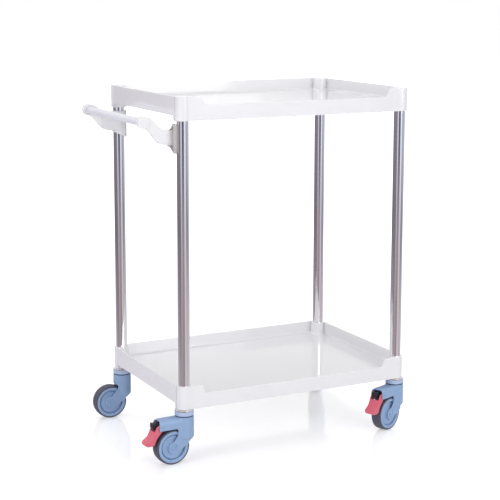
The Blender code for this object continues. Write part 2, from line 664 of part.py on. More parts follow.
def bracket(name, sy):
    """One handle bracket: saddle on the post, arm and grip boss in one moulding."""
    x, y = -post_spacing_x / 2, sy * post_spacing_y / 2
    body = put(f"handle_bracket_{name}", arm(f"handle_bracket_{name}", sy), white_abs, root)
    soften(body, arm_edge_round, segments=1)
    boss = rod(f"handle_bracket_{name}_boss", grip_boss_radius, -grip_boss_width / 2, grip_boss_width / 2, None,
               root, (grip_x, sy * boss_middle, handle_height), side_turn, steps=facets_large, home=cutters)
    combine(body, boss, "UNION")
    middle = inward(sy)
    bottom, top = saddle_centre - saddle_height / 2, saddle_centre + saddle_height / 2
    half_sweep = (saddle_outer_sweep + saddle_inner_sweep) / 2
    first, last = middle - half_sweep, middle + half_sweep
    ring = arc((0, 0), saddle_outer, first, last, 9) + arc((0, 0), saddle_inner - 0.001, last, first, 9)
    saddle = put(f"handle_bracket_{name}_saddle", standing_sector(f"handle_bracket_{name}_saddle", ring, bottom, top),
                 None, root, (x, y, 0), home=cutters)
    combine(body, saddle, "UNION")
    socket = rod(f"handle_bracket_{name}_socket", hole(grip_diameter / 2, facets_medium), -0.02, grip_socket, None, root,
                 (grip_x, sy * boss_inner, handle_height), (-sy * pi / 2, 0, 0), home=cutters)
    combine(body, socket, "DIFFERENCE")
    clear = rod(f"handle_bracket_{name}_post_room", saddle_inner, bottom - 0.05, top + 0.05, None, root, (x, y, 0),
                steps=facets_large, home=cutters)
    combine(body, clear, "DIFFERENCE")
    drill_turn = (pi / 2, 0, radians(middle + 90))
    head_room, shank_room = (hole(d / 2, facets_small) for d in (screw_head, screw_diameter))
    drill = turned_piece(f"handle_bracket_{name}_drill",
                         [(0, saddle_outer + 0.03), (head_room, saddle_outer + 0.03),
                          (head_room, saddle_outer - screw_head_depth), (shank_room, saddle_outer - screw_head_depth),
                          (shank_room, 0), (0, 0)],
                         None, root, (x, y, saddle_centre), drill_turn, steps=facets_small, closed=False,
                         home=cutters)
    combine(body, drill, "DIFFERENCE")
    head = saddle_outer - fit_gap
    neck = saddle_outer - screw_head_depth + fit_gap
    turned_piece(f"bracket_screw_{name}",
                 [(0, head), (screw_head / 2, head), (screw_head / 2, neck), (screw_diameter / 2, neck),
                  (screw_diameter / 2, post_radius - screw_reach), (0, post_radius - screw_reach)],
                 zinc_steel, root, (x, y, saddle_centre), drill_turn, steps=facets_small, closed=False)
    pad_in, pad_out = post_radius + fit_gap, post_radius + fit_gap + pad_thickness
    strip = arc((0, 0), pad_out, first + 4, last - 4, 8) + arc((0, 0), pad_in, last - 4, first + 4, 8)
    pad = put(f"saddle_pad_{name}",
              standing_sector(f"saddle_pad_{name}", strip, saddle_centre - pad_height / 2,
                              saddle_centre + pad_height / 2), pale_pad, root, (x, y, 0))
    combine(pad, drill, "DIFFERENCE")
    ring_inner = hole(grip_diameter / 2, facets_medium)
    ring_outer = ring_inner + ring_wall
    turned_piece(f"grip_ring_{name}",
                 [(ring_outer, ring_width / 2), (ring_outer, -ring_width / 2),
                  (ring_inner, -ring_width / 2), (ring_inner, ring_width / 2)],
                 white_abs, root, (grip_x, sy * (boss_inner - ring_width / 2 - fit_gap), handle_height), side_turn)


def standing_sector(name, outline, bottom, top):
    """A plan outline in X and Y, standing between two heights."""
    mesh = upright_plate(name, outline, top - bottom)
    mesh.transform(Matrix.Rotation(-pi / 2, 4, "X"))
    mesh.transform(Matrix.Translation((0, 0, (bottom + top) / 2)))
    return mesh


bracket("front", -1)
bracket("rear", 1)
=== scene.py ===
# Two-shelf ward cart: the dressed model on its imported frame
import bpy
import bmesh
from math import sin, cos, tan, pi, radians, hypot, atan2, acos
from mathutils import Matrix, Vector


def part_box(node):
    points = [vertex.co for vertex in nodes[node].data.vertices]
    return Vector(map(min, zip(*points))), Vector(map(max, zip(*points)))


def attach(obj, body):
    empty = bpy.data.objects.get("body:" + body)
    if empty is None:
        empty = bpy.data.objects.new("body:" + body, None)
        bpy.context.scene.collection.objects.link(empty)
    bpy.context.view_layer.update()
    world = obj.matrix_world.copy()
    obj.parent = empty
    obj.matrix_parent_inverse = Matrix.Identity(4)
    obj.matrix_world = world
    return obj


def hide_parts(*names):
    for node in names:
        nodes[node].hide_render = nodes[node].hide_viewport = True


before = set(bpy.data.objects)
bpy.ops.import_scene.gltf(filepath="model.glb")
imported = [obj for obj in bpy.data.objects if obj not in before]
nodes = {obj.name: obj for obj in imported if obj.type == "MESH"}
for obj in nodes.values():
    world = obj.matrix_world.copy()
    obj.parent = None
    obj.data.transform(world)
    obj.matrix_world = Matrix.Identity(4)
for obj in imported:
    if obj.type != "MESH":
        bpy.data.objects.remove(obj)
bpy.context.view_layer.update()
print("frame loaded,", len(nodes), "nodes")

cart = {"spacingX": 0.632, "spacingY": 0.423}
corners = {  # side along X, side along Y, turn of the caster in degrees, braked or not
    "front_left": (-1, -1, 2.6, True),
    "front_right": (1, -1, 21.0, True),
    "rear_left": (-1, 1, -1.2, False),
    "rear_right": (1, 1, 52.0, False),
}


def postPlace(corner):
    low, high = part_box("post_" + corner)
    return Vector(((low.x + high.x) / 2, (low.y + high.y) / 2, 0))


cart["middle"] = sum((postPlace(corner) for corner in corners), Vector()) / 4  # between the four posts


# Small helpers for outlines, turned shapes and plates
def roundCorners(points, steps=5, closed=True):
    # each point is (x, z) or (x, z, radius of its rounding)
    rounded = []
    count = len(points)
    for i, point in enumerate(points):
        radius = point[2] if len(point) > 2 else 0
        if not radius or (not closed and i in (0, count - 1)):
            rounded.append((point[0], point[1]))
            continue
        here = Vector(point[:2])
        before, after = Vector(points[i - 1][:2]) - here, Vector(points[(i + 1) % count][:2]) - here
        lengthA, lengthB = before.length, after.length
        before.normalize()
        after.normalize()
        opening = before.angle(after)
        if opening > pi - 0.02:
            rounded.append(tuple(here))
            continue
        pull = min(radius / tan(opening / 2), lengthA * 0.49, lengthB * 0.49)
        radius = pull * tan(opening / 2)
        centre = here + (before + after).normalized() * (radius / sin(opening / 2))
        start, end = here + before * pull - centre, here + after * pull - centre
        sweep = start.angle_signed(end)
        for k in range(steps + 1):
            turned = start.copy()
            turned.rotate(Matrix.Rotation(-sweep * k / steps, 2))
            rounded.append(tuple(centre + turned))
    return rounded


def arcPoints(centre, radius, start, end, count):
    turns = [radians(start + (end - start) * i / (count - 1)) for i in range(count)]
    return [(centre[0] + radius * cos(t), centre[1] + radius * sin(t)) for t in turns]


def spun(profile, steps=72, closed=True, lift=None):
    # a turned shape from (radius, height) points
    bm = bmesh.new()
    rail = [bm.verts.new((r, 0, z)) for r, z in profile]
    for a, b in zip(rail, rail[1:]):
        bm.edges.new((a, b))
    if closed:
        bm.edges.new((rail[-1], rail[0]))
    bmesh.ops.spin(bm, geom=bm.verts[:] + bm.edges[:], cent=(0, 0, 0), axis=(0, 0, 1), angle=2 * pi,
                   steps=steps, use_merge=True, use_duplicate=False)
    bmesh.ops.remove_doubles(bm, verts=bm.verts, dist=1e-6)
    bmesh.ops.recalc_face_normals(bm, faces=bm.faces)
    if lift is not None:
        bmesh.ops.transform(bm, matrix=lift, verts=bm.verts)
    return bm


def plated(outline, thickness, edge=0.0, steps=3, middle=0.0):
    # an outline in X and Z, given its thickness along Y and rounded edges
    bm = bmesh.new()
    ring = [bm.verts.new((x, middle - thickness / 2, z)) for x, z in outline]
    face = bm.faces.new(ring)
    grown = bmesh.ops.extrude_face_region(bm, geom=[face])
    raised = [v for v in grown["geom"] if isinstance(v, bmesh.types.BMVert)]
    bmesh.ops.translate(bm, vec=(0, thickness, 0), verts=raised)
    if edge:
        rims = [e for e in bm.edges if abs(e.verts[0].co.y - e.verts[1].co.y) < 1e-7]
        bmesh.ops.bevel(bm, geom=rims, offset=edge, segments=steps, profile=0.5, affect="EDGES", material=-1)
    bmesh.ops.recalc_face_normals(bm, faces=bm.faces)
    return bm


def bored(radius, low, high, place=(0, 0, 0), turn=None, steps=48):
    # a plain round bar, used to cut with
    bm = bmesh.new()
    bmesh.ops.create_cone(bm, cap_ends=True, segments=steps, radius1=radius, radius2=radius, depth=high - low,
                          matrix=Matrix.Translation((0, 0, (low + high) / 2)))
    if turn is not None:
        bmesh.ops.transform(bm, matrix=turn, verts=bm.verts)
    bmesh.ops.translate(bm, vec=place, verts=bm.verts)
    return bm


def roundTrip(mesh):
    # takes a finished mesh back as a bmesh
    bm = bmesh.new()
    bm.from_mesh(mesh)
    bpy.data.meshes.remove(mesh)
    return bm


def boxed(low, high):
    bm = bmesh.new()
    low, high = Vector(low), Vector(high)
    placed = Matrix.Translation((low + high) / 2) @ Matrix.Diagonal((*(high - low), 1))
    bmesh.ops.create_cube(bm, size=1.0, matrix=placed)
    return bm


def meshOf(name, bm):
    mesh = bpy.data.meshes.new(name)
    bm.to_mesh(mesh)
    bm.free()
    return mesh


def piece(name, shape, material, place=None, sharp=38, steady=False):
    mesh = shape if isinstance(shape, bpy.types.Mesh) else meshOf(name, shape)
    if place is not None:
        mesh.transform(place)
    mesh.shade_smooth()
    mesh.set_sharp_from_angle(angle=radians(sharp))
    mesh.materials.clear()
    mesh.materials.append(material)
    thing = bpy.data.objects.new(name, mesh)
    bpy.context.scene.collection.objects.link(thing)
    if steady:  # keeps long faces flat beside small roundings
        even = thing.modifiers.new("even shading", "WEIGHTED_NORMAL")
        even.keep_sharp, even.weight = True, 50
    return thing


def carved(name, body, joins=(), cuts=(), voxel=0.0, ease=0):
    # joins and cuts solids, then melts the result into one moulding with soft edges
    def temporary(label, bm):
        thing = bpy.data.objects.new(label, meshOf(label, bm))
        bpy.context.scene.collection.objects.link(thing)
        return thing
    base = temporary(name + "_base", body)
    tools = [(temporary(f"{name}_join_{i}", bm), "UNION") for i, bm in enumerate(joins)]
    tools += [(temporary(f"{name}_cut_{i}", bm), "DIFFERENCE") for i, bm in enumerate(cuts)]
    for tool, operation in tools:
        step = base.modifiers.new(tool.name, "BOOLEAN")
        step.operation, step.solver, step.object = operation, "EXACT", tool
    if voxel:
        melt = base.modifiers.new("melt", "REMESH")
        melt.mode, melt.voxel_size, melt.adaptivity = "VOXEL", voxel, 0.0
        ironed = base.modifiers.new("ironed", "SMOOTH")
        ironed.factor, ironed.iterations = 0.5, ease
    graph = bpy.context.evaluated_depsgraph_get()
    mesh = bpy.data.meshes.new_from_object(base.evaluated_get(graph), depsgraph=graph)
    mesh.name = name
    for tool, operation in tools:
        bpy.data.objects.remove(tool, do_unlink=True)
    bpy.data.objects.remove(base, do_unlink=True)
    return mesh


# Finishes
def blankMaterial(name):
    material = bpy.data.materials.new(name)
    material.use_nodes = True
    tree = material.node_tree
    return material, tree, tree.nodes["Principled BSDF"]


def mouldedFinish(name, colour, roughness, tint=0.03, grain=260.0, bump=0.02, coat=0.0, fleck=0.04, coatRough=0.12):
    # a moulded plastic: a faint cloudiness in the colour, a fine grain and slightly uneven gloss
    material, tree, shader = blankMaterial(name)
    make, join = tree.nodes.new, tree.links.new
    place = make("ShaderNodeTexCoord")
    cloud = make("ShaderNodeTexNoise")
    cloud.inputs["Scale"].default_value = 9.0
    cloud.inputs["Detail"].default_value = 3.0
    join(place.outputs["Object"], cloud.inputs["Vector"])
    ramp = make("ShaderNodeValToRGB")
    ramp.color_ramp.elements[0].position, ramp.color_ramp.elements[1].position = 0.3, 0.7
    ramp.color_ramp.elements[0].color = (*[c * (1 - tint) for c in colour], 1)
    ramp.color_ramp.elements[1].color = (*[min(c * (1 + tint * 0.6), 1.0) for c in colour], 1)
    join(cloud.outputs["Fac"], ramp.inputs["Fac"])
    join(ramp.outputs["Color"], shader.inputs["Base Color"])
    fine = make("ShaderNodeTexNoise")
    fine.inputs["Scale"].default_value = grain
    fine.inputs["Detail"].default_value = 2.0
    join(place.outputs["Object"], fine.inputs["Vector"])
    gloss = make("ShaderNodeMapRange")
    gloss.inputs["To Min"].default_value = roughness - fleck
    gloss.inputs["To Max"].default_value = roughness + fleck
    join(fine.outputs["Fac"], gloss.inputs["Value"])
    join(gloss.outputs["Result"], shader.inputs["Roughness"])
    relief = make("ShaderNodeBump")
    relief.inputs["Strength"].default_value = bump
    relief.inputs["Distance"].default_value = 0.0005
    join(fine.outputs["Fac"], relief.inputs["Height"])
    join(relief.outputs["Normal"], shader.inputs["Normal"])
    shader.inputs["Coat Weight"].default_value = coat
    shader.inputs["Coat Roughness"].default_value = coatRough
    return material


def drawnSteel(name, colour, roughness, streak=900.0, bump=0.01):
    # polished tube: fine marks that run along its length
    material, tree, shader = blankMaterial(name)
    make, join = tree.nodes.new, tree.links.new
    shader.inputs["Base Color"].default_value = (*colour, 1)
    shader.inputs["Metallic"].default_value = 1.0
    place = make("ShaderNodeTexCoord")
    along = make("ShaderNodeMapping")
    along.inputs["Scale"].default_value = (1.0, 1.0, 0.02)
    join(place.outputs["Object"], along.inputs["Vector"])
    marks = make("ShaderNodeTexNoise")
    marks.inputs["Scale"].default_value = streak
    marks.inputs["Detail"].default_value = 2.0
    join(along.outputs["Vector"], marks.inputs["Vector"])
    gloss = make("ShaderNodeMapRange")
    gloss.inputs["To Min"].default_value = max(roughness - 0.03, 0.02)
    gloss.inputs["To Max"].default_value = roughness + 0.05
    join(marks.outputs["Fac"], gloss.inputs["Value"])
    join(gloss.outputs["Result"], shader.inputs["Roughness"])
    relief = make("ShaderNodeBump")
    relief.inputs["Strength"].default_value = bump
    relief.inputs["Distance"].default_value = 0.0002
    join(marks.outputs["Fac"], relief.inputs["Height"])
    join(relief.outputs["Normal"], shader.inputs["Normal"])
    return material


trayWhite = mouldedFinish("tray_white", (0.855, 0.855, 0.872), 0.26, tint=0.012, grain=700.0, bump=0.012,
                          coat=1.0, coatRough=0.05)
bracketWhite = mouldedFinish("bracket_white", (0.84, 0.84, 0.86), 0.34, tint=0.015, grain=600.0, bump=0.02)
casterBlue = mouldedFinish("caster_blue", (0.295, 0.43, 0.655), 0.40, tint=0.05, grain=420.0, bump=0.05)
collarBlue = mouldedFinish("collar_blue", (0.45, 0.56, 0.76), 0.30, tint=0.04, grain=420.0, bump=0.03, coat=0.2)
# painted shade: near-black, standing for the shadow in the seam between collar and fork
seamShadeBlue = mouldedFinish("seam_shade_blue", (0.035, 0.055, 0.10), 0.5, tint=0.05, grain=420.0, bump=0.03)
rimBlue = mouldedFinish("rim_blue", (0.31, 0.45, 0.68), 0.38, tint=0.04, grain=420.0, bump=0.04)
tyreGrey = mouldedFinish("tyre_grey", (0.085, 0.085, 0.125), 0.62, tint=0.10, grain=520.0, bump=0.10, fleck=0.08)
pedalRed = mouldedFinish("pedal_red", (0.76, 0.145, 0.205), 0.40, tint=0.05, grain=420.0, bump=0.05)
camBlack = mouldedFinish("cam_black", (0.016, 0.016, 0.022), 0.45, tint=0.15, grain=420.0, bump=0.05)
# painted shade at the saddle's edges and on the arm's ears; on the pad round the post it is the pad's own grey
padAndShadeGrey = mouldedFinish("pad_and_shade_grey", (0.50, 0.485, 0.485), 0.45, tint=0.06, grain=420.0, bump=0.05)
gripPale = mouldedFinish("grip_pale", (0.80, 0.80, 0.87), 0.28, tint=0.03, grain=500.0, bump=0.03, coat=0.2)
postSteel = drawnSteel("post_steel", (0.80, 0.79, 0.81), 0.08)
zincSteel = drawnSteel("zinc_steel_finish", (0.56, 0.57, 0.60), 0.34, streak=500.0, bump=0.04)
print("finishes made")

# Trays
tray = {
    "height": 0.060, "wall": 0.003, "floorTop": 0.027, "floorBottom": 0.024, "sleeve": 0.0195, "face": 0.0182,
    "lip": 0.0011, "skirtEdge": 0.0008, "fillet": 0.007, "draft": 0.0015, "endRise": 0.012, "riseFrom": 0.0160,
    "notchDepth": 0.022, "notchInset": 0.044, "notchSlope": 0.008, "notchRound": 0.004,
    "ribThick": 0.0025, "ribDeep": 0.008, "ribRows": 2, "ribColumns": 3, "bore": 0.0153,
    "blindTop": 0.0532, "arcSteps": 20,
}


def rimHeights():
    # stations along the front wall, measured from the post axis, with the height of its rim
    slope = cart["spacingX"] / 2 - tray["notchInset"]
    low = tray["height"] - tray["notchDepth"]
    line = [(slope + 0.05, tray["height"]), (slope, tray["height"], tray["notchRound"]),
            (slope - tray["notchSlope"], low, tray["notchRound"]), (slope - 0.06, low)]
    return roundCorners(line, steps=6, closed=False)


frontLine = rimHeights()


def wallStations(side):
    # distances from the wall's middle: a few plain ones, and on the front wall those of the notch
    half = cart["spacingX"] / 2 if side in ("front", "back") else cart["spacingY"] / 2
    near = [half - tray["riseFrom"] + 0.0006, half - tray["riseFrom"] - 0.0006, half - 0.030]
    if side == "front":
        reach = near + [x for x, z in frontLine[1:]]
    else:
        reach = near + [half * 0.75, half * 0.5, half * 0.25]
    return reach + [0.0] + [-x for x in reversed(reach)]


def rimHeight(side, x):
    if side != "front":
        return tray["height"]
    x = abs(x)
    if x >= frontLine[0][0]:
        return tray["height"]
    for (x1, z1), (x2, z2) in zip(frontLine, frontLine[1:]):
        if x2 <= x <= x1:
            return z2 + (z1 - z2) * (x - x2) / (x1 - x2)
    return tray["height"] - tray["notchDepth"]


def skirtHeight(side, x):
    if side not in ("left", "right"):
        return 0.0
    return tray["endRise"] if abs(x) < cart["spacingY"] / 2 - tray["riseFrom"] else 0.0


def trayLoop(inner, inset, height):
    # points once round the tray, a given distance in from its outer or its inner face
    line = (tray["face"] - tray["wall"] - inset) if inner else (tray["face"] - inset)
    radius = (tray["sleeve"] + inset) if inner else (tray["sleeve"] - inset)
    open_ = acos(min(line / radius, 1.0))
    points = []
    for side, facing in (("front", -90), ("right", 0), ("back", 90), ("left", 180)):
        alongX = side in ("front", "back")
        half, across = (cart["spacingX"], cart["spacingY"]) if alongX else (cart["spacingY"], cart["spacingX"])
        half, across = half / 2, across / 2
        out = Vector((cos(radians(facing)), sin(radians(facing))))
        forth = Vector((-out.y, out.x))
        reach = half - radius * sin(open_)
        stations = wallStations(side)[::-1]
        for k, told in enumerate(stations):
            spare = 0.0004 * (min(k, len(stations) - 1 - k) + 1)
            x = max(min(told, reach - spare), spare - reach)
            spot = out * (across + line) + forth * x
            points.append((spot.x, spot.y, height(side, told)))
        post = out * across + forth * half
        start = radians(facing) - open_
        total = pi / 2 + 2 * open_ - (2 * pi if inner else 0)
        for k in range(tray["arcSteps"] + 1):
            turn = start + total * k / tray["arcSteps"]
            points.append((post.x + radius * cos(turn), post.y + radius * sin(turn), height("corner", 0)))
    return points


def grow(bm, ring, edges, points):
    # extrudes a loop of edges and moves the new loop into place
    grown = bmesh.ops.extrude_edge_only(bm, edges=edges)
    fresh = {g for g in grown["geom"] if isinstance(g, bmesh.types.BMVert)}
    above = [next(e.other_vert(v) for e in v.link_edges if e.other_vert(v) in fresh) for v in ring]
    for vert, point in zip(above, points):
        vert.co = point
    return above, [bm.edges.get((a, b)) for a, b in zip(above, above[1:] + above[:1])]


def trayShape(name, low, postsPass):
    floor, under, lip, edge = tray["floorTop"], tray["floorBottom"], tray["lip"], tray["skirtEdge"]
    loops = [(True, 0.0010, lambda s, x: under), (True, 0.0, lambda s, x: under - 0.001)]
    for k, j in ((0.0, 1.0), (0.3, 0.3), (1.0, 0.0)):
        loops.append((True, -edge * k, lambda s, x, j=j: skirtHeight(s, x) + edge * j))
    for k, j in ((1.0, 0.0), (0.3, 0.3), (0.0, 1.0)):
        loops.append((False, edge * k, lambda s, x, j=j: skirtHeight(s, x) + edge * j))
    for k, j in ((0.0, 1.0), (0.08, 0.6), (0.3, 0.3), (0.6, 0.08), (1.0, 0.0)):
        loops.append((False, lip * k, lambda s, x, j=j: rimHeight(s, x) - lip * j))
    for k, j in ((1.0, 0.0), (0.6, 0.08), (0.3, 0.3), (0.08, 0.6), (0.0, 1.0)):
        loops.append((True, -lip * k, lambda s, x, j=j: rimHeight(s, x) - lip * j))
    for k in range(7):
        turn = radians(90 * k / 6)
        inset = tray["draft"] + tray["fillet"] * (1 - cos(turn))
        level = floor + tray["fillet"] * (1 - sin(turn))
        loops.append((True, inset, lambda s, x, z=level, k=k: min(z, rimHeight(s, x) - lip - 0.0001 * (k + 1))))
    bm = bmesh.new()
    ring = [bm.verts.new(p) for p in trayLoop(*loops[0])]
    edges = [bm.edges.new((a, b)) for a, b in zip(ring, ring[1:] + ring[:1])]
    bm.faces.new(ring)
    for loop in loops[1:]:
        ring, edges = grow(bm, ring, edges, trayLoop(*loop))
    bm.faces.new(ring)
    bmesh.ops.recalc_face_normals(bm, faces=bm.faces)
    top = tray["height"] + 0.002 if postsPass else tray["blindTop"]
    cuts = [bored(tray["bore"], -0.002, top, (sx * cart["spacingX"] / 2, sy * cart["spacingY"] / 2, 0), steps=64)
            for sx, sy, turn, braked in corners.values()]
    mesh = carved(name, bm, cuts=cuts)
    bm = bmesh.new()
    bm.from_mesh(mesh)
    halfX = cart["spacingX"] / 2 + tray["face"] - 0.001
    halfY = cart["spacingY"] / 2 + tray["face"] - 0.001
    half, bottom = tray["ribThick"] / 2, under - tray["ribDeep"]
    ribs = [(-halfX, cart["spacingY"] * ((k + 1) / (tray["ribRows"] + 1) - 0.5), True) for k in range(tray["ribRows"])]
    ribs += [(cart["spacingX"] * ((k + 1) / (tray["ribColumns"] + 1) - 0.5), -halfY, False)
             for k in range(tray["ribColumns"])]
    for x, y, lengthwise in ribs:
        low3 = (x, y - half, bottom) if lengthwise else (x - half, y, bottom)
        high3 = (-x, y + half, under + 0.001) if lengthwise else (x + half, -y, under + 0.001)
        rib = boxed(low3, high3)
        lower = [e for e in rib.edges if all(abs(v.co.z - bottom) < 1e-6 for v in e.verts)]
        bmesh.ops.bevel(rib, geom=lower, offset=0.0007, segments=3, profile=0.5, affect="EDGES", material=-1)
        ribMesh = meshOf("rib", rib)
        bm.from_mesh(ribMesh)
        bpy.data.meshes.remove(ribMesh)
    bpy.data.meshes.remove(mesh)
    return piece(name, bm, trayWhite, Matrix.Translation(cart["middle"] + Vector((0, 0, low))), sharp=30, steady=True)


for name, postsPass in (("lower_tray", True), ("top_tray", False)):
    made = trayShape("tray_shell_" + name.split("_")[0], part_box(name)[0].z, postsPass)
    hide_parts(name)
    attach(made, "frame")
print("trays made")

# Posts
post = {"radius": 0.015, "wall": 0.0012, "edge": 0.0003, "band": 0.002, "steps": 96}
for corner in corners:
    low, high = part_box("post_" + corner)
    r, w, e, near = post["radius"], post["wall"], post["edge"], post["band"]
    profile = roundCorners([(r, high.z, e), (r, high.z - near), (r, low.z + near), (r, low.z, e), (r - w, low.z, e),
                            (r - w, low.z + near), (r - w, high.z - near), (r - w, high.z, e)], steps=2)
    tube = piece("tube_" + corner, spun(profile, post["steps"]), postSteel,
                 Matrix.Translation(postPlace(corner)), steady=True)
    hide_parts("post_" + corner)
    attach(tube, "frame")
print("posts made")

# Casters: shapes in the caster's own frame, which trails towards -X
caster = {
    "wheel": 0.046, "trail": 0.038, "tyreWidth": 0.030, "rim": 0.0408, "channel": 0.0375, "axle": 0.004, "cap": 0.0095,
    "flange": 0.0022, "hub": 0.0150, "hubFace": 0.0154, "webFace": 0.0110, "ring": 0.0333, "grooveDeep": 0.0034,
    "fork": 0.0400, "cheek": 0.0038, "boss": 0.0155, "column": 0.0245, "clear": 0.050, "top": 0.1209, "voxel": 0.0007,
    "hoodReach": 0.078, "hoodWall": 0.0035, "shoulder": 0.0125, "plainShoulder": 0.008, "arch": 0.0080,
    "opening": 0.0945, "hook": 0.008, "pinX": 0.070, "pinZ": 0.1035, "pin": 0.003, "pinBore": 0.0032,
    "pedalWidth": 0.0315, "pedalWall": 0.0030, "pedalVoxel": 0.0006, "tongueRound": 0.0120, "camWidth": 0.0160,
    "bearing": 0.0173, "collarLow": 0.1215, "bandLow": 0.1346, "bandTop": 0.1387, "seamShadeLow": 0.1213, "seamShadeTop": 0.1231,
}


def tangent(centre, radius, point, side):
    # the turn, in degrees, at which a line from the point touches the circle
    dx, dz = point[0] - centre[0], point[1] - centre[1]
    turn = atan2(dz, dx) + side * acos(radius / hypot(dx, dz))
    return turn * 180 / pi


def forkShape(name, braked):
    c = caster
    axle, foot, top = (-c["trail"], c["wheel"]), (0.004, 0.052), c["top"]
    start = tangent(axle, c["boss"], foot, -1)
    start = start - 360 if start > 0 else start
    outline = [(foot[0], top), foot] + arcPoints(axle, c["boss"], start, -270, 28)
    if braked:
        hook = c["hook"]
        outline += [(-0.0275, 0.0745)] + arcPoints((-0.0335, c["opening"] - hook), hook, 0, 90, 10)
        outline += arcPoints((-c["hoodReach"] + 0.003, c["opening"] + 0.003), 0.003, 270, 180, 8)
        outline += [(-c["hoodReach"], top - 0.010)]
        outline += arcPoints((-c["hoodReach"] + 0.009, top - 0.010), 0.009, 170, 95, 10)
        outline += [(-c["column"], top)]
    else:
        outline += [(-0.0290, 0.0720), (-0.0125, 0.0902), (-0.0130, top)]
    body = plated(outline, c["fork"])
    half, round_ = c["fork"] / 2, c["shoulder"] if braked else c["plainShoulder"]
    across = Matrix.Rotation(pi / 2, 4, "Z")
    cuts = []
    for side in (-1, 1):
        line = arcPoints((side * (half - round_), top - round_), round_, 90 - side * 89, 90 - side * 1, 16)
        past = side * (half + 0.002)
        line += [(line[-1][0], top + 0.002), (past, top + 0.002), (past, line[0][1])]
        shoulder = plated(line, 0.3)
        bmesh.ops.transform(shoulder, matrix=across, verts=shoulder.verts)
        cuts.append(shoulder)
    shaped = meshOf("shaped", body)
    base = bmesh.new()
    base.from_mesh(carved(name + "_plate", roundTrip(shaped), cuts=cuts))
    r = c["column"]
    lean = roundCorners([(0, top), (r, top, 0.0012), (r, 0.066, 0.006), (0.011, 0.050, 0.003), (0, 0.050)], 5)
    column = spun(lean, 64)
    if not braked:
        relief = boxed((-0.03, -0.04, 0.03), (-0.010, 0.04, 0.075))
        column = roundTrip(carved(name + "_column", column, cuts=[relief]))
    ceiling = top - c["hoodWall"]
    inside, arch = half - c["cheek"], c["arch"]
    if braked:
        room = arcPoints(axle, c["clear"], -60, 55, 30) + [(-0.0165, ceiling - arch)]
        room += [(-c["hoodReach"] - 0.02, ceiling - arch), (-c["hoodReach"] - 0.02, -0.02), (0, -0.02)]
    else:
        room = arcPoints(axle, c["clear"], -60, 90, 36)
        room += [(-0.1, c["clear"] + c["wheel"]), (-0.1, -0.02), (0, -0.02)]
    sideways = Matrix.Rotation(pi / 2, 4, "X")
    cuts = [plated(room, 2 * inside),
            bored(c["axle"] + 0.0002, -0.03, 0.03, (-c["trail"], 0, c["wheel"]), sideways)]
    if braked:
        cuts.append(bored(c["pin"] + 0.0002, -0.03, 0.03, (-c["pinX"], 0, c["pinZ"]), sideways))
        spring = ceiling - arch  # where the hood's rounded inside begins
        line = arcPoints((inside - arch, spring), arch, 0, 90, 12)
        line += arcPoints((arch - inside, spring), arch, 90, 180, 12)
        vault = plated(line + [(-inside, spring - 0.01), (inside, spring - 0.01)], 0.08, middle=0.0580)
        bmesh.ops.transform(vault, matrix=across, verts=vault.verts)
        cuts.append(vault)
    for end in (-1, 1):
        seat = bored(c["cap"] + 0.0003, half - 0.0015, half + 0.01, (-c["trail"], 0, c["wheel"]),
                     Matrix.Rotation(-end * pi / 2, 4, "X"))
        cuts.append(seat)
    well = roundCorners([(0, top + 0.01), (c["bearing"], top + 0.01), (c["bearing"], top - 0.0032),
                         (0.0062, top - 0.0032), (0.0062, 0.08), (0.0095, 0.08), (0.0095, 0.060), (0, 0.060)], 2)
    cuts.append(spun(well, 48))
    return carved(name, base, joins=[column], cuts=cuts, voxel=c["voxel"], ease=5)


def wheelShapes():
    c = caster
    half, rim = c["tyreWidth"] / 2, c["rim"]
    side = Matrix.Translation((-c["trail"], 0, c["wheel"])) @ Matrix.Rotation(pi / 2, 4, "X")
    seat = half - c["flange"] - 0.0003
    tread = [(rim + 0.0003, half - 0.0002, 0.0004), (c["wheel"] - 0.0012, half - 0.0006, 0.0034),
             (c["wheel"], 0.004, 0.010)]
    profile = tread + [(r, -z, e) for r, z, e in reversed(tread)]
    bead = c["channel"] + 0.0003
    profile += [(rim + 0.0003, -seat), (bead, -seat), (bead, seat), (rim + 0.0003, seat)]
    tyre = spun(roundCorners(profile, 8), 96, lift=side)
    web, ring, hub, hubFace, groove = c["webFace"], c["ring"], c["hub"], c["hubFace"], c["grooveDeep"]
    face = [(c["axle"] + 0.0004, hubFace), (hub - 0.003, hubFace, 0.0004), (hub - 0.003, hubFace - 0.0006, 0.0003),
            (hub, hubFace - 0.0006, 0.0008), (hub + 0.001, web, 0.0012), (ring - 0.0034, web, 0.0004),
            (ring - 0.0030, web - groove, 0.0003), (ring - 0.0008, web - groove, 0.0003), (ring, half - 0.0002, 0.0012),
            (rim, half, 0.0007), (rim, half - c["flange"]), (c["channel"], half - c["flange"])]
    face += [(p[0], -p[1], *p[2:]) for p in reversed(face)]
    rimShape = spun(roundCorners(face, 4), 96, lift=side)
    reach = c["fork"] / 2 + 0.0006  # the caps stand just proud of the cheeks
    cap = [(0, reach - 0.0002), (0.0028, reach - 0.0002, 0.0004), (0.0032, reach - 0.0011, 0.0003),
           (0.0040, reach - 0.0011, 0.0003), (0.0044, reach, 0.0005), (0.0066, reach, 0.0004),
           (0.0069, reach - 0.0009, 0.0002), (0.0076, reach - 0.0009, 0.0002), (0.0079, reach - 0.0001, 0.0004),
           (c["cap"], reach - 0.0001, 0.0006), (c["cap"], reach - 0.0019), (c["axle"], reach - 0.0019)]
    cap += [(p[0], -p[1], *p[2:]) for p in reversed(cap)]
    axle = spun(roundCorners(cap, 4, closed=False), 64, closed=False, lift=side)
    return tyre, rimShape, axle


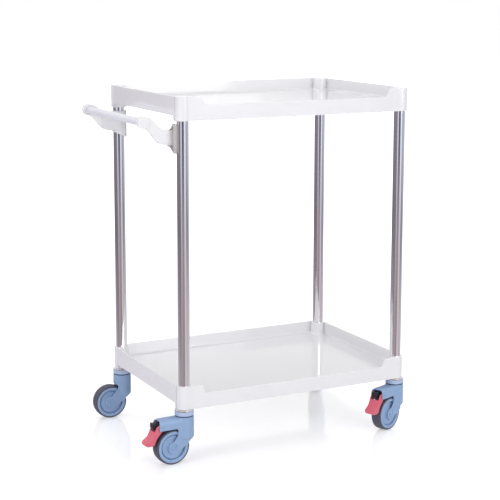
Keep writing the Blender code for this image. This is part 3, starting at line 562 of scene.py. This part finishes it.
def pedalShape(name):
    c = caster
    ear, wheel = (-c["pinX"], c["pinZ"]), (-c["trail"], c["wheel"])
    outline = arcPoints(ear, 0.0075, -40, 130, 24)
    outline += roundCorners([(-0.0790, 0.1085), (-0.0848, 0.1048, 0.004), (-0.0895, 0.0935, 0.025),
                             (-0.0975, 0.0770, 0.016), (-0.1105, 0.0680, 0.008), (-0.1150, 0.0612, 0.0020),
                             (-0.1085, 0.0570, 0.004), (-0.0965, 0.0585)], 8, closed=False)
    outline += arcPoints(wheel, 0.0545, 165, 132, 20)
    inside = roundCorners([(-0.055, 0.120), (-0.110, 0.120), (-0.0985, 0.0965, 0.002), (-0.0870, 0.0940, 0.003),
                           (-0.0962, 0.0760, 0.01), (-0.0968, 0.0700, 0.006), (-0.0930, 0.0590), (-0.040, 0.0590)], 6)
    sideways = Matrix.Rotation(pi / 2, 4, "X")
    cuts = [plated(inside, c["pedalWidth"] - 2 * c["pedalWall"]),
            bored(c["pinBore"], -0.03, 0.03, (ear[0], 0, ear[1]), sideways)]
    edge, round_ = c["pedalWidth"] / 2, c["tongueRound"]
    turned = Matrix.Translation((-0.1165, 0, 0.0590)) @ Matrix.Rotation(radians(40), 4, "Y")
    turned = turned @ Matrix.Rotation(pi / 2, 4, "Z")
    for side in (-1, 1):  # the corners of the tongue's end
        near, past = side * (edge - round_), side * (edge + 0.004)
        line = [(side * edge, 0.030), (side * edge, round_)]
        line += arcPoints((near, round_), round_, 90 - side * 90, 90 - side * 180, 14)
        line += [(near, -0.004), (past, -0.004), (past, 0.030)]
        corner = plated(line, 0.05)
        bmesh.ops.transform(corner, matrix=turned, verts=corner.verts)
        cuts.append(corner)
    return carved(name + "_pedal", plated(outline, c["pedalWidth"]), cuts=cuts, voxel=c["pedalVoxel"], ease=7)


def camShape(name):
    c = caster
    ear, wheel = (-c["pinX"], c["pinZ"]), (-c["trail"], c["wheel"])
    outline = arcPoints(wheel, c["wheel"] + 0.0008, 131, 118, 8) + arcPoints(ear, 0.0085, -25, 70, 16)
    outline += roundCorners([(-0.0740, 0.1120), (-0.0800, 0.1130), (-0.0850, 0.1140, 0.0015), (-0.0868, 0.1105, 0.0008),
                             (-0.0900, 0.1150, 0.0012), (-0.0925, 0.1130, 0.001), (-0.0930, 0.1030, 0.002),
                             (-0.0900, 0.0975, 0.002), (-0.0840, 0.0960)], 4, closed=False)
    bm = plated(outline, c["camWidth"], edge=0.0007)
    cuts = [bored(c["pinBore"], -0.03, 0.03, (ear[0], 0, ear[1]), Matrix.Rotation(pi / 2, 4, "X"))]
    return carved(name + "_cam", bm, cuts=cuts)


def collarShape():
    c = caster
    top, low, r = c["bandLow"] - 0.0002, c["collarLow"], c["column"]
    profile = [(0.006, top), (r, top, 0.0009), (r, low + 0.0026, 0.0006), (r - 0.0020, low + 0.0019, 0.0003),
               (r - 0.0020, low), (0.006, low)]
    return spun(roundCorners(profile, 4), 96)


def bandShape():
    # the polished band between the collar and the tray
    top, low, r = caster["bandTop"], caster["bandLow"], caster["column"] - 0.0009
    profile = [(0.006, top), (r - 0.0006, top, 0.0005), (r, top - 0.0010, 0.0006), (r, low, 0.0003), (0.006, low)]
    return spun(roundCorners(profile, 4), 96)


def seamShadeShape():
    # a dark ring between the collar and the fork: painted shade in the seam between them
    top, low, r, inner = caster["seamShadeTop"], caster["seamShadeLow"], caster["column"] - 0.0012, 0.010
    return spun([(inner, top), (r, top), (r, low), (inner, low)], 96)


for corner, (sx, sy, turn, braked) in corners.items():
    spot = Matrix.Translation(postPlace(corner))
    stand = spot @ Matrix.Rotation(radians(turn), 4, "Z")
    swivel, wheel = "swivel_" + corner, "wheel_" + corner
    fork = forkShape("fork_" + corner, braked)
    made = [("fork_shell_" + corner, fork, casterBlue, stand, "fork_" + corner, swivel, "blue_nylon")]
    tyre, rim, axle = wheelShapes()
    made.append(("tread_" + corner, tyre, tyreGrey, stand, "tyre_" + corner, wheel, "grey_rubber"))
    made.append(("rim_disc_" + corner, rim, rimBlue, stand, "wheel_rim_" + corner, wheel, "blue_nylon"))
    made.append(("axle_caps_" + corner, axle, rimBlue, stand, "axle_" + corner, swivel, "blue_nylon"))
    made.append(("collar_ring_" + corner, collarShape(), collarBlue, spot, "caster_collar_" + corner, "frame",
                 "blue_nylon"))
    if braked:
        brake = "brake_" + corner
        pedal, cam = pedalShape(corner), camShape(corner)
        made.append(("pedal_" + corner, pedal, pedalRed, stand, "brake_pedal_" + corner, brake, "red_nylon"))
        made.append(("cam_" + corner, cam, camBlack, stand, "brake_cam_" + corner, brake, "black_nylon"))
    for name, shape, finish, place, node, body, slot in made:
        thing = piece(name, shape, finish, place, steady=not name.startswith(("fork_", "pedal_")))
        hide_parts(node)
        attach(thing, body)
    # the ring of painted shade in the seam under the collar
    seamShade = piece("collar_seam_shade_" + corner, seamShadeShape(), seamShadeBlue, spot)
    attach(seamShade, "frame")
    band = piece("collar_band_" + corner, bandShape(), postSteel, spot, steady=True)
    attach(band, "frame")
print("casters made")

# Push handle
handle = {
    "grip": 0.010, "gripWall": 0.0016, "ringHalf": 0.00275, "ringInner": 0.0104, "ringWall": 0.0024, "span": 0.364,
    "boss": 0.0155, "bossWidth": 0.0138, "armThick": 0.0090, "armDeeper": 0.0060, "straight": 0.0181,
    "saddleWall": 0.0040, "saddleHeight": 0.0685, "saddleCentre": 0.82575, "pad": 0.0017,
    "outer": 94.0, "inner": 43.0,  # how far the saddle reaches round the post each way, in degrees
}
low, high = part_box("handle_grip")
handle["reach"], handle["height"] = postPlace("front_left").x - (low.x + high.x) / 2, (low.z + high.z) / 2
armLine = [  # shares of the reach and of the drop from grip to saddle, then half the arm's height there
    (0.00, 0.02, 0.0143), (0.10, 0.08, 0.0163), (0.21, 0.25, 0.0203), (0.31, 0.48, 0.0220), (0.41, 0.72, 0.0212),
    (0.52, 0.89, 0.0190), (0.64, 0.95, 0.0182), (0.76, 0.96, 0.0184), (0.87, 0.98, 0.0190), (0.97, 1.00, 0.0200),
]


def smoothLine(points, parts=6):
    # a curve through the points, so that the arm has no corners
    line = []
    for i in range(len(points) - 1):
        p0, p1, p2 = points[max(i - 1, 0)], points[i], points[i + 1]
        p3 = points[min(i + 2, len(points) - 1)]
        for k in range(parts):
            t = k / parts
            line.append(tuple(0.5 * (2 * b + (c - a) * t + (2 * a - 5 * b + 4 * c - d) * t * t
                                     + (3 * b - a - 3 * c + d) * t ** 3)
                              for a, b, c, d in zip(p0, p1, p2, p3)))
    return line + [points[-1]]


def slantedCut(x, y):
    # takes the lower corner off the far saddle
    z = handle["saddleCentre"]
    line = [(x - 0.032, z - 0.0150), (x + 0.0130, z - 0.0372), (x + 0.03, z - 0.046), (x + 0.03, z - 0.07),
            (x - 0.032, z - 0.07)]
    return plated(line, 0.08, middle=y)


def bracketShape(name, sy):
    h = handle
    x, y = -cart["spacingX"] / 2, sy * cart["spacingY"] / 2
    gripX = x - h["reach"]
    drop = h["height"] - h["saddleCentre"]
    spine = smoothLine([(gripX + a * h["reach"], h["height"] - b * drop, r) for a, b, r in armLine])
    bossY = sy * (h["span"] / 2 + h["bossWidth"] / 2)
    outerR = post["radius"] + h["pad"] + 0.0006 + h["saddleWall"]
    rootY = sy * (cart["spacingY"] / 2 - outerR + h["saddleWall"] / 2)
    arm, before = bmesh.new(), None
    for px, pz, r in spine:  # past the boss the inner face lies deeper
        along = px - gripX - h["straight"]
        y0 = bossY + (rootY - bossY) * max(along / (h["reach"] - h["straight"]), 0.0)
        deeper = h["armDeeper"] * min(max(along / 0.014, 0.0), 1.0)
        outer, inner = y0 + sy * h["armThick"] / 2, y0 - sy * (h["armThick"] / 2 + deeper)
        section = [Vector((px, across, pz + up)) for across, up in ((outer, r), (outer, -r), (inner, -r), (inner, r))]
        if before is None:
            end = arm.faces.new([arm.verts.new(p) for p in section])
        else:
            grown = bmesh.ops.extrude_face_region(arm, geom=[end])
            end = next(g for g in grown["geom"] if isinstance(g, bmesh.types.BMFace))
            for vert in end.verts:
                nearest = [(vert.co - p).length for p in before]
                vert.co = section[nearest.index(min(nearest))]
        before = section
    bmesh.ops.recalc_face_normals(arm, faces=arm.faces)
    lying = Matrix.Rotation(pi / 2, 4, "X")
    boss = bored(h["boss"], -h["bossWidth"] / 2, h["bossWidth"] / 2, (gripX, bossY, h["height"]), lying, 64)
    middle = -sy * (90 + (h["outer"] - h["inner"]) / 2)
    sweep = (h["outer"] + h["inner"]) / 2
    ring = arcPoints((0, 0), outerR, middle - sweep, middle + sweep, 40)
    ring += arcPoints((0, 0), outerR - h["saddleWall"] - 0.001, middle + sweep, middle - sweep, 40)
    saddle = plated(ring, h["saddleHeight"])
    upright = Matrix.Translation((x, y, h["saddleCentre"])) @ Matrix.Rotation(-pi / 2, 4, "X")
    bmesh.ops.transform(saddle, matrix=upright, verts=saddle.verts)
    socket = bored(h["grip"] + 0.0004, -0.02, 0.0085, (gripX, sy * h["span"] / 2, h["height"]),
                   Matrix.Rotation(-sy * pi / 2, 4, "X"))
    room = bored(outerR - h["saddleWall"], 0.70, 0.95, (x, y, 0), steps=64)
    aimed = Matrix.Translation((x, y, h["saddleCentre"])) @ Matrix.Rotation(radians(middle + 90), 4, "Z") @ lying
    head, shank, deep = 0.0043, 0.0023, outerR - 0.0022
    drill = spun([(0, outerR + 0.0006), (head, outerR + 0.0006), (head, deep), (shank, deep), (shank, 0), (0, 0)], 32,
                 closed=False, lift=aimed)
    cuts = [socket, room, drill] + ([slantedCut(x, y)] if sy > 0 else [])
    return carved(name, arm, joins=[boss, saddle], cuts=cuts, voxel=caster["voxel"], ease=5)


def padAndShadeShape(name, sy):
    # the pad round the post, with the grey edge of the saddle and, on the near bracket, two ears on the arm: the pad's
    # grey is its own colour, the grey edge and the ears are painted shade of the saddle's shaded sides and the arm's
    # shaded fillets
    h = handle
    x, y = -cart["spacingX"] / 2, sy * cart["spacingY"] / 2
    stand = Matrix.Translation((x, y, h["saddleCentre"])) @ Matrix.Rotation(-pi / 2, 4, "X")
    # each arc: from, to, inner and outer radius, height
    arcs = [(186, 41, 0.01515, 0.01735, 0.0665), (49, 40, 0.0173, 0.0222, 0.0720)]
    if sy < 0:
        arcs.append((148, 187, 0.0173, 0.0238, 0.0715))
    blocks = []
    for first, last, inner, outer, tall in arcs:
        ring = arcPoints((0, 0), outer, sy * -first, sy * -last, 32)
        ring += arcPoints((0, 0), inner, sy * -last, sy * -first, 32)
        block = plated(ring, tall, edge=0.0005)
        bmesh.ops.transform(block, matrix=stand, verts=block.verts)
        blocks.append(block)
    if sy > 0:
        return carved(name, blocks[0], joins=blocks[1:], cuts=[slantedCut(x, y)])
    # the ears: a grey plate behind the arm, painted shade of its shaded fillets
    side = [(-0.0120, 0.0357), (-0.0165, 0.0355), (-0.0190, 0.0310), (-0.0225, 0.0250), (-0.0270, 0.0208),
            (-0.0330, 0.0184)]
    ears = [(x + px, h["saddleCentre"] + pz) for px, pz in side]
    ears += [(x + px, h["saddleCentre"] - pz) for px, pz in reversed(side)]
    return carved(name, blocks[0], joins=blocks[1:] + [plated(ears, 0.0050, middle=y - sy * 0.0205)])


middle = Matrix.Translation(cart["middle"])
sideways = Matrix.Rotation(pi / 2, 4, "X")
for name, sy in (("front", -1), ("rear", 1)):
    bracket = piece("bracket_arm_" + name, bracketShape("bracket_" + name, sy), bracketWhite, middle)
    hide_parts("handle_bracket_" + name)
    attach(bracket, "frame")
    # grey pad, with painted shade at the saddle's edges
    padAndShade = piece("saddle_pad_and_shade_" + name, padAndShadeShape("pad_and_shade_" + name, sy), padAndShadeGrey, middle)
    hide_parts("saddle_pad_" + name)
    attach(padAndShade, "frame")
    low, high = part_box("grip_ring_" + name)
    w, inner, outer = handle["ringHalf"], handle["ringInner"], handle["ringInner"] + handle["ringWall"]
    profile = roundCorners([(outer, w, 0.0010), (outer, -w, 0.0010), (inner, -w, 0.0003), (inner, w, 0.0003)], 4)
    band = spun(profile, 72, lift=Matrix.Translation((low + high) / 2) @ sideways)
    ring = piece("end_ring_" + name, band, bracketWhite, steady=True)
    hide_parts("grip_ring_" + name)
    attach(ring, "frame")
low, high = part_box("handle_grip")
half = (high.y - low.y) / 2
r, bore = handle["grip"], handle["grip"] - handle["gripWall"]
tube = roundCorners([(r, half, 0.0006), (r, -half, 0.0006), (bore, -half, 0.0003), (bore, half, 0.0003)], 3)
tube = spun(tube, 72, lift=Matrix.Translation((low + high) / 2) @ sideways)
grip = piece("grip_tube", tube, gripPale, steady=True)
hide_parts("handle_grip")
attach(grip, "frame")
print("handle made")

# Nodes that stay as they are
kept = {"post_plug_": camBlack, "post_insert_": camBlack, "kingpin_": zincSteel, "swivel_bearing_": zincSteel,
        "brake_pin_": casterBlue, "bracket_screw_": bracketWhite}
for name, node in nodes.items():
    for start, finish in kept.items():
        if name.startswith(start):
            node.data.materials.clear()
            node.data.materials.append(finish)

# Camera, in the photograph's place
view = {
    "spot": (-1.6947, -3.2705, 1.2045), "elevation": 9.207, "heading": -27.093, "roll": 0.122,
    "lens": 98.78, "rise": -0.09,
}
lens = bpy.data.cameras.new("camera")
lens.lens, lens.sensor_width, lens.sensor_fit, lens.shift_y = view["lens"], 36.0, "HORIZONTAL", view["rise"]
lens.clip_start, lens.clip_end = 0.05, 60.0
camera = bpy.data.objects.new("camera", lens)
camera.matrix_world = (Matrix.Translation(cart["middle"] + Vector(view["spot"]))
                       @ Matrix.Rotation(radians(view["heading"]), 4, "Z")
                       @ Matrix.Rotation(radians(90 - view["elevation"]), 4, "X")
                       @ Matrix.Rotation(radians(view["roll"]), 4, "Z"))
bpy.context.scene.collection.objects.link(camera)
bpy.context.scene.camera = camera

# Studio floor: white, with the cart's shadow and a faint mirror image near it
studio = {"reach": 16.0, "glow": 0.50, "mirror": 0.20, "mirrorRough": 0.10, "near": 1.3, "far": 3.0, "world": 0.56}
bm = bmesh.new()
bmesh.ops.create_grid(bm, x_segments=1, y_segments=1, size=studio["reach"])
floorMaterial, tree, shader = blankMaterial("pale_floor")
make, join = tree.nodes.new, tree.links.new
shader.inputs["Base Color"].default_value = (0.88, 0.88, 0.89, 1)
shader.inputs["Roughness"].default_value = 0.9
shader.inputs["Specular IOR Level"].default_value = 0.0
place = make("ShaderNodeTexCoord")
away = make("ShaderNodeVectorMath")
away.operation = "LENGTH"
join(place.outputs["Object"], away.inputs[0])
fade = make("ShaderNodeMapRange")
fade.interpolation_type = "SMOOTHSTEP"
fade.inputs["From Min"].default_value = studio["near"]
fade.inputs["From Max"].default_value = studio["far"]
join(away.outputs["Value"], fade.inputs["Value"])
rays = make("ShaderNodeLightPath")
lift = make("ShaderNodeMapRange")  # how much white is added: more of it far away, and only to what the camera sees
lift.inputs["To Min"].default_value = studio["glow"]
lift.inputs["To Max"].default_value = 1.0
join(fade.outputs["Result"], lift.inputs["Value"])
seen = make("ShaderNodeMath")
seen.operation = "MULTIPLY"
join(lift.outputs["Result"], seen.inputs[0])
join(rays.outputs["Is Camera Ray"], seen.inputs[1])
glow = make("ShaderNodeEmission")
join(seen.outputs["Value"], glow.inputs["Strength"])
added = make("ShaderNodeAddShader")
join(shader.outputs["BSDF"], added.inputs[0])
join(glow.outputs["Emission"], added.inputs[1])
mirror = make("ShaderNodeBsdfGlossy")
mirror.inputs["Color"].default_value = (1, 1, 1, 1)
mirror.inputs["Roughness"].default_value = studio["mirrorRough"]
share = make("ShaderNodeMapRange")
share.inputs["To Min"].default_value = studio["mirror"]
share.inputs["To Max"].default_value = 0.0
join(fade.outputs["Result"], share.inputs["Value"])
blend = make("ShaderNodeMixShader")
join(share.outputs["Result"], blend.inputs["Fac"])
join(added.outputs["Shader"], blend.inputs[1])
join(mirror.outputs["BSDF"], blend.inputs[2])
join(blend.outputs["Shader"], tree.nodes["Material Output"].inputs["Surface"])
floor = piece("studio_floor", bm, floorMaterial)
floor.visible_glossy = False

# Studio cards: seen only in reflections, they give the polished posts their dark and light bands
cards = {"radius": 12.0, "low": -12.0, "high": 1.1, "steps": 24, "strength": 1.25, "levels": (-3.2, -2.6, -1.55, -0.6)}
bands = [  # from, to, then the colours from the lowest level up to the highest
    (66, 150, (0.47, 0.44, 0.50), (0.36, 0.33, 0.38), (0.17, 0.15, 0.18), (0.21, 0.185, 0.21)),
    (150, 203, (0.34, 0.30, 0.33), (0.24, 0.205, 0.24), (0.165, 0.145, 0.175), (0.21, 0.18, 0.21)),
    (203, 229, (0.34, 0.29, 0.30), (0.37, 0.31, 0.32), (0.42, 0.37, 0.41), (0.62, 0.62, 0.68)),
    (229, 268, (0.30, 0.26, 0.27), (0.29, 0.25, 0.24), (0.29, 0.265, 0.28), (0.10, 0.115, 0.15)),
    (268, 303, (0.57, 0.53, 0.55), (0.56, 0.50, 0.51), (0.58, 0.55, 0.60), (0.70, 0.75, 0.85)),
    (303, 325, (0.50, 0.46, 0.50), (0.44, 0.39, 0.43), (0.21, 0.20, 0.23), (0.31, 0.31, 0.37)),
    (325, 350, (0.52, 0.50, 0.54), (0.52, 0.48, 0.53), (0.22, 0.21, 0.26), (0.50, 0.48, 0.53)),
    (350, 426, (0.49, 0.47, 0.51), (0.50, 0.46, 0.51), (0.46, 0.45, 0.49), (0.50, 0.47, 0.51)),
]
for i, (start, end, *colours) in enumerate(bands):
    bm = bmesh.new()
    turns = [radians(start + (end - start) * k / cards["steps"]) for k in range(cards["steps"] + 1)]
    line = [bm.verts.new((cards["radius"] * cos(t), cards["radius"] * sin(t), cards["low"])) for t in turns]
    edges = [bm.edges.new((a, b)) for a, b in zip(line, line[1:])]
    grown = bmesh.ops.extrude_edge_only(bm, edges=edges)
    bmesh.ops.translate(bm, vec=(0, 0, cards["high"] - cards["low"]),
                        verts=[g for g in grown["geom"] if isinstance(g, bmesh.types.BMVert)])
    material = bpy.data.materials.new(f"card_{i}")
    material.use_nodes = True
    tree = material.node_tree
    make, join = tree.nodes.new, tree.links.new
    tree.nodes.remove(tree.nodes["Principled BSDF"])
    place = make("ShaderNodeTexCoord")
    split = make("ShaderNodeSeparateXYZ")
    join(place.outputs["Object"], split.inputs["Vector"])
    levels = cards["levels"]
    tall = make("ShaderNodeMapRange")
    tall.inputs["From Min"].default_value, tall.inputs["From Max"].default_value = levels[0], levels[-1]
    join(split.outputs["Z"], tall.inputs["Value"])
    ramp = make("ShaderNodeValToRGB")
    steps = ramp.color_ramp.elements
    while len(steps) < len(levels):
        steps.new(0.5)
    for step, level, colour in zip(steps, levels, colours):
        step.position = (level - levels[0]) / (levels[-1] - levels[0])
        step.color = (*colour, 1)
    join(tall.outputs["Result"], ramp.inputs["Fac"])
    glow = make("ShaderNodeEmission")
    glow.inputs["Strength"].default_value = cards["strength"]
    join(ramp.outputs["Color"], glow.inputs["Color"])
    join(glow.outputs["Emission"], tree.nodes["Material Output"].inputs["Surface"])
    card = piece(f"studio_card_{i}", bm, material)
    card.visible_camera = card.visible_diffuse = card.visible_shadow = card.visible_transmission = False
    card.visible_volume_scatter = False

# World and lamps
world = bpy.data.worlds.new("studio")
bpy.context.scene.world = world
world.use_nodes = True
tree = world.node_tree
make, join = tree.nodes.new, tree.links.new
plain = tree.nodes["Background"]
plain.inputs["Color"].default_value = (0.97, 0.965, 1.0, 1)
plain.inputs["Strength"].default_value = studio["world"]
white = make("ShaderNodeBackground")
white.inputs["Color"].default_value = (1, 1, 1, 1)
rays = make("ShaderNodeLightPath")
seen = make("ShaderNodeMath")
seen.operation = "MAXIMUM"
seen2 = make("ShaderNodeMath")
seen2.operation = "MAXIMUM"
join(rays.outputs["Is Camera Ray"], seen.inputs[0])
join(rays.outputs["Is Glossy Ray"], seen.inputs[1])
join(seen.outputs["Value"], seen2.inputs[0])
join(rays.outputs["Is Transmission Ray"], seen2.inputs[1])
mixed = make("ShaderNodeMixShader")
join(seen2.outputs["Value"], mixed.inputs["Fac"])
join(plain.outputs["Background"], mixed.inputs[1])
join(white.outputs["Background"], mixed.inputs[2])
join(mixed.outputs["Shader"], tree.nodes["World Output"].inputs["Surface"])

lamps = {  # place, target, size, power, colour
    "key": ((0.9, -3.6, 1.7), (0.0, 0.0, 0.45), 2.4, 43.0, (1.0, 0.995, 0.985)),
    "fill": ((-3.4, -1.2, 1.4), (0.0, 0.0, 0.40), 2.2, 38.0, (1.0, 0.98, 1.0)),
    "top": ((0.3, 0.6, 3.6), (0.0, 0.0, 0.5), 2.6, 32.0, (1.0, 1.0, 1.0)),
}
for name, (spot, target, size, power, colour) in lamps.items():
    data = bpy.data.lights.new("lamp_" + name, "AREA")
    data.shape, data.size, data.energy, data.color = "DISK", size, power, colour
    lamp = bpy.data.objects.new("lamp_" + name, data)
    lamp.location, lamp.visible_glossy = spot, name == "key"
    lamp.rotation_euler = (Vector(target) - Vector(spot)).to_track_quat("-Z", "Y").to_euler()
    bpy.context.scene.collection.objects.link(lamp)
print("studio made")

bpy.context.scene.view_settings.view_transform = "Standard"
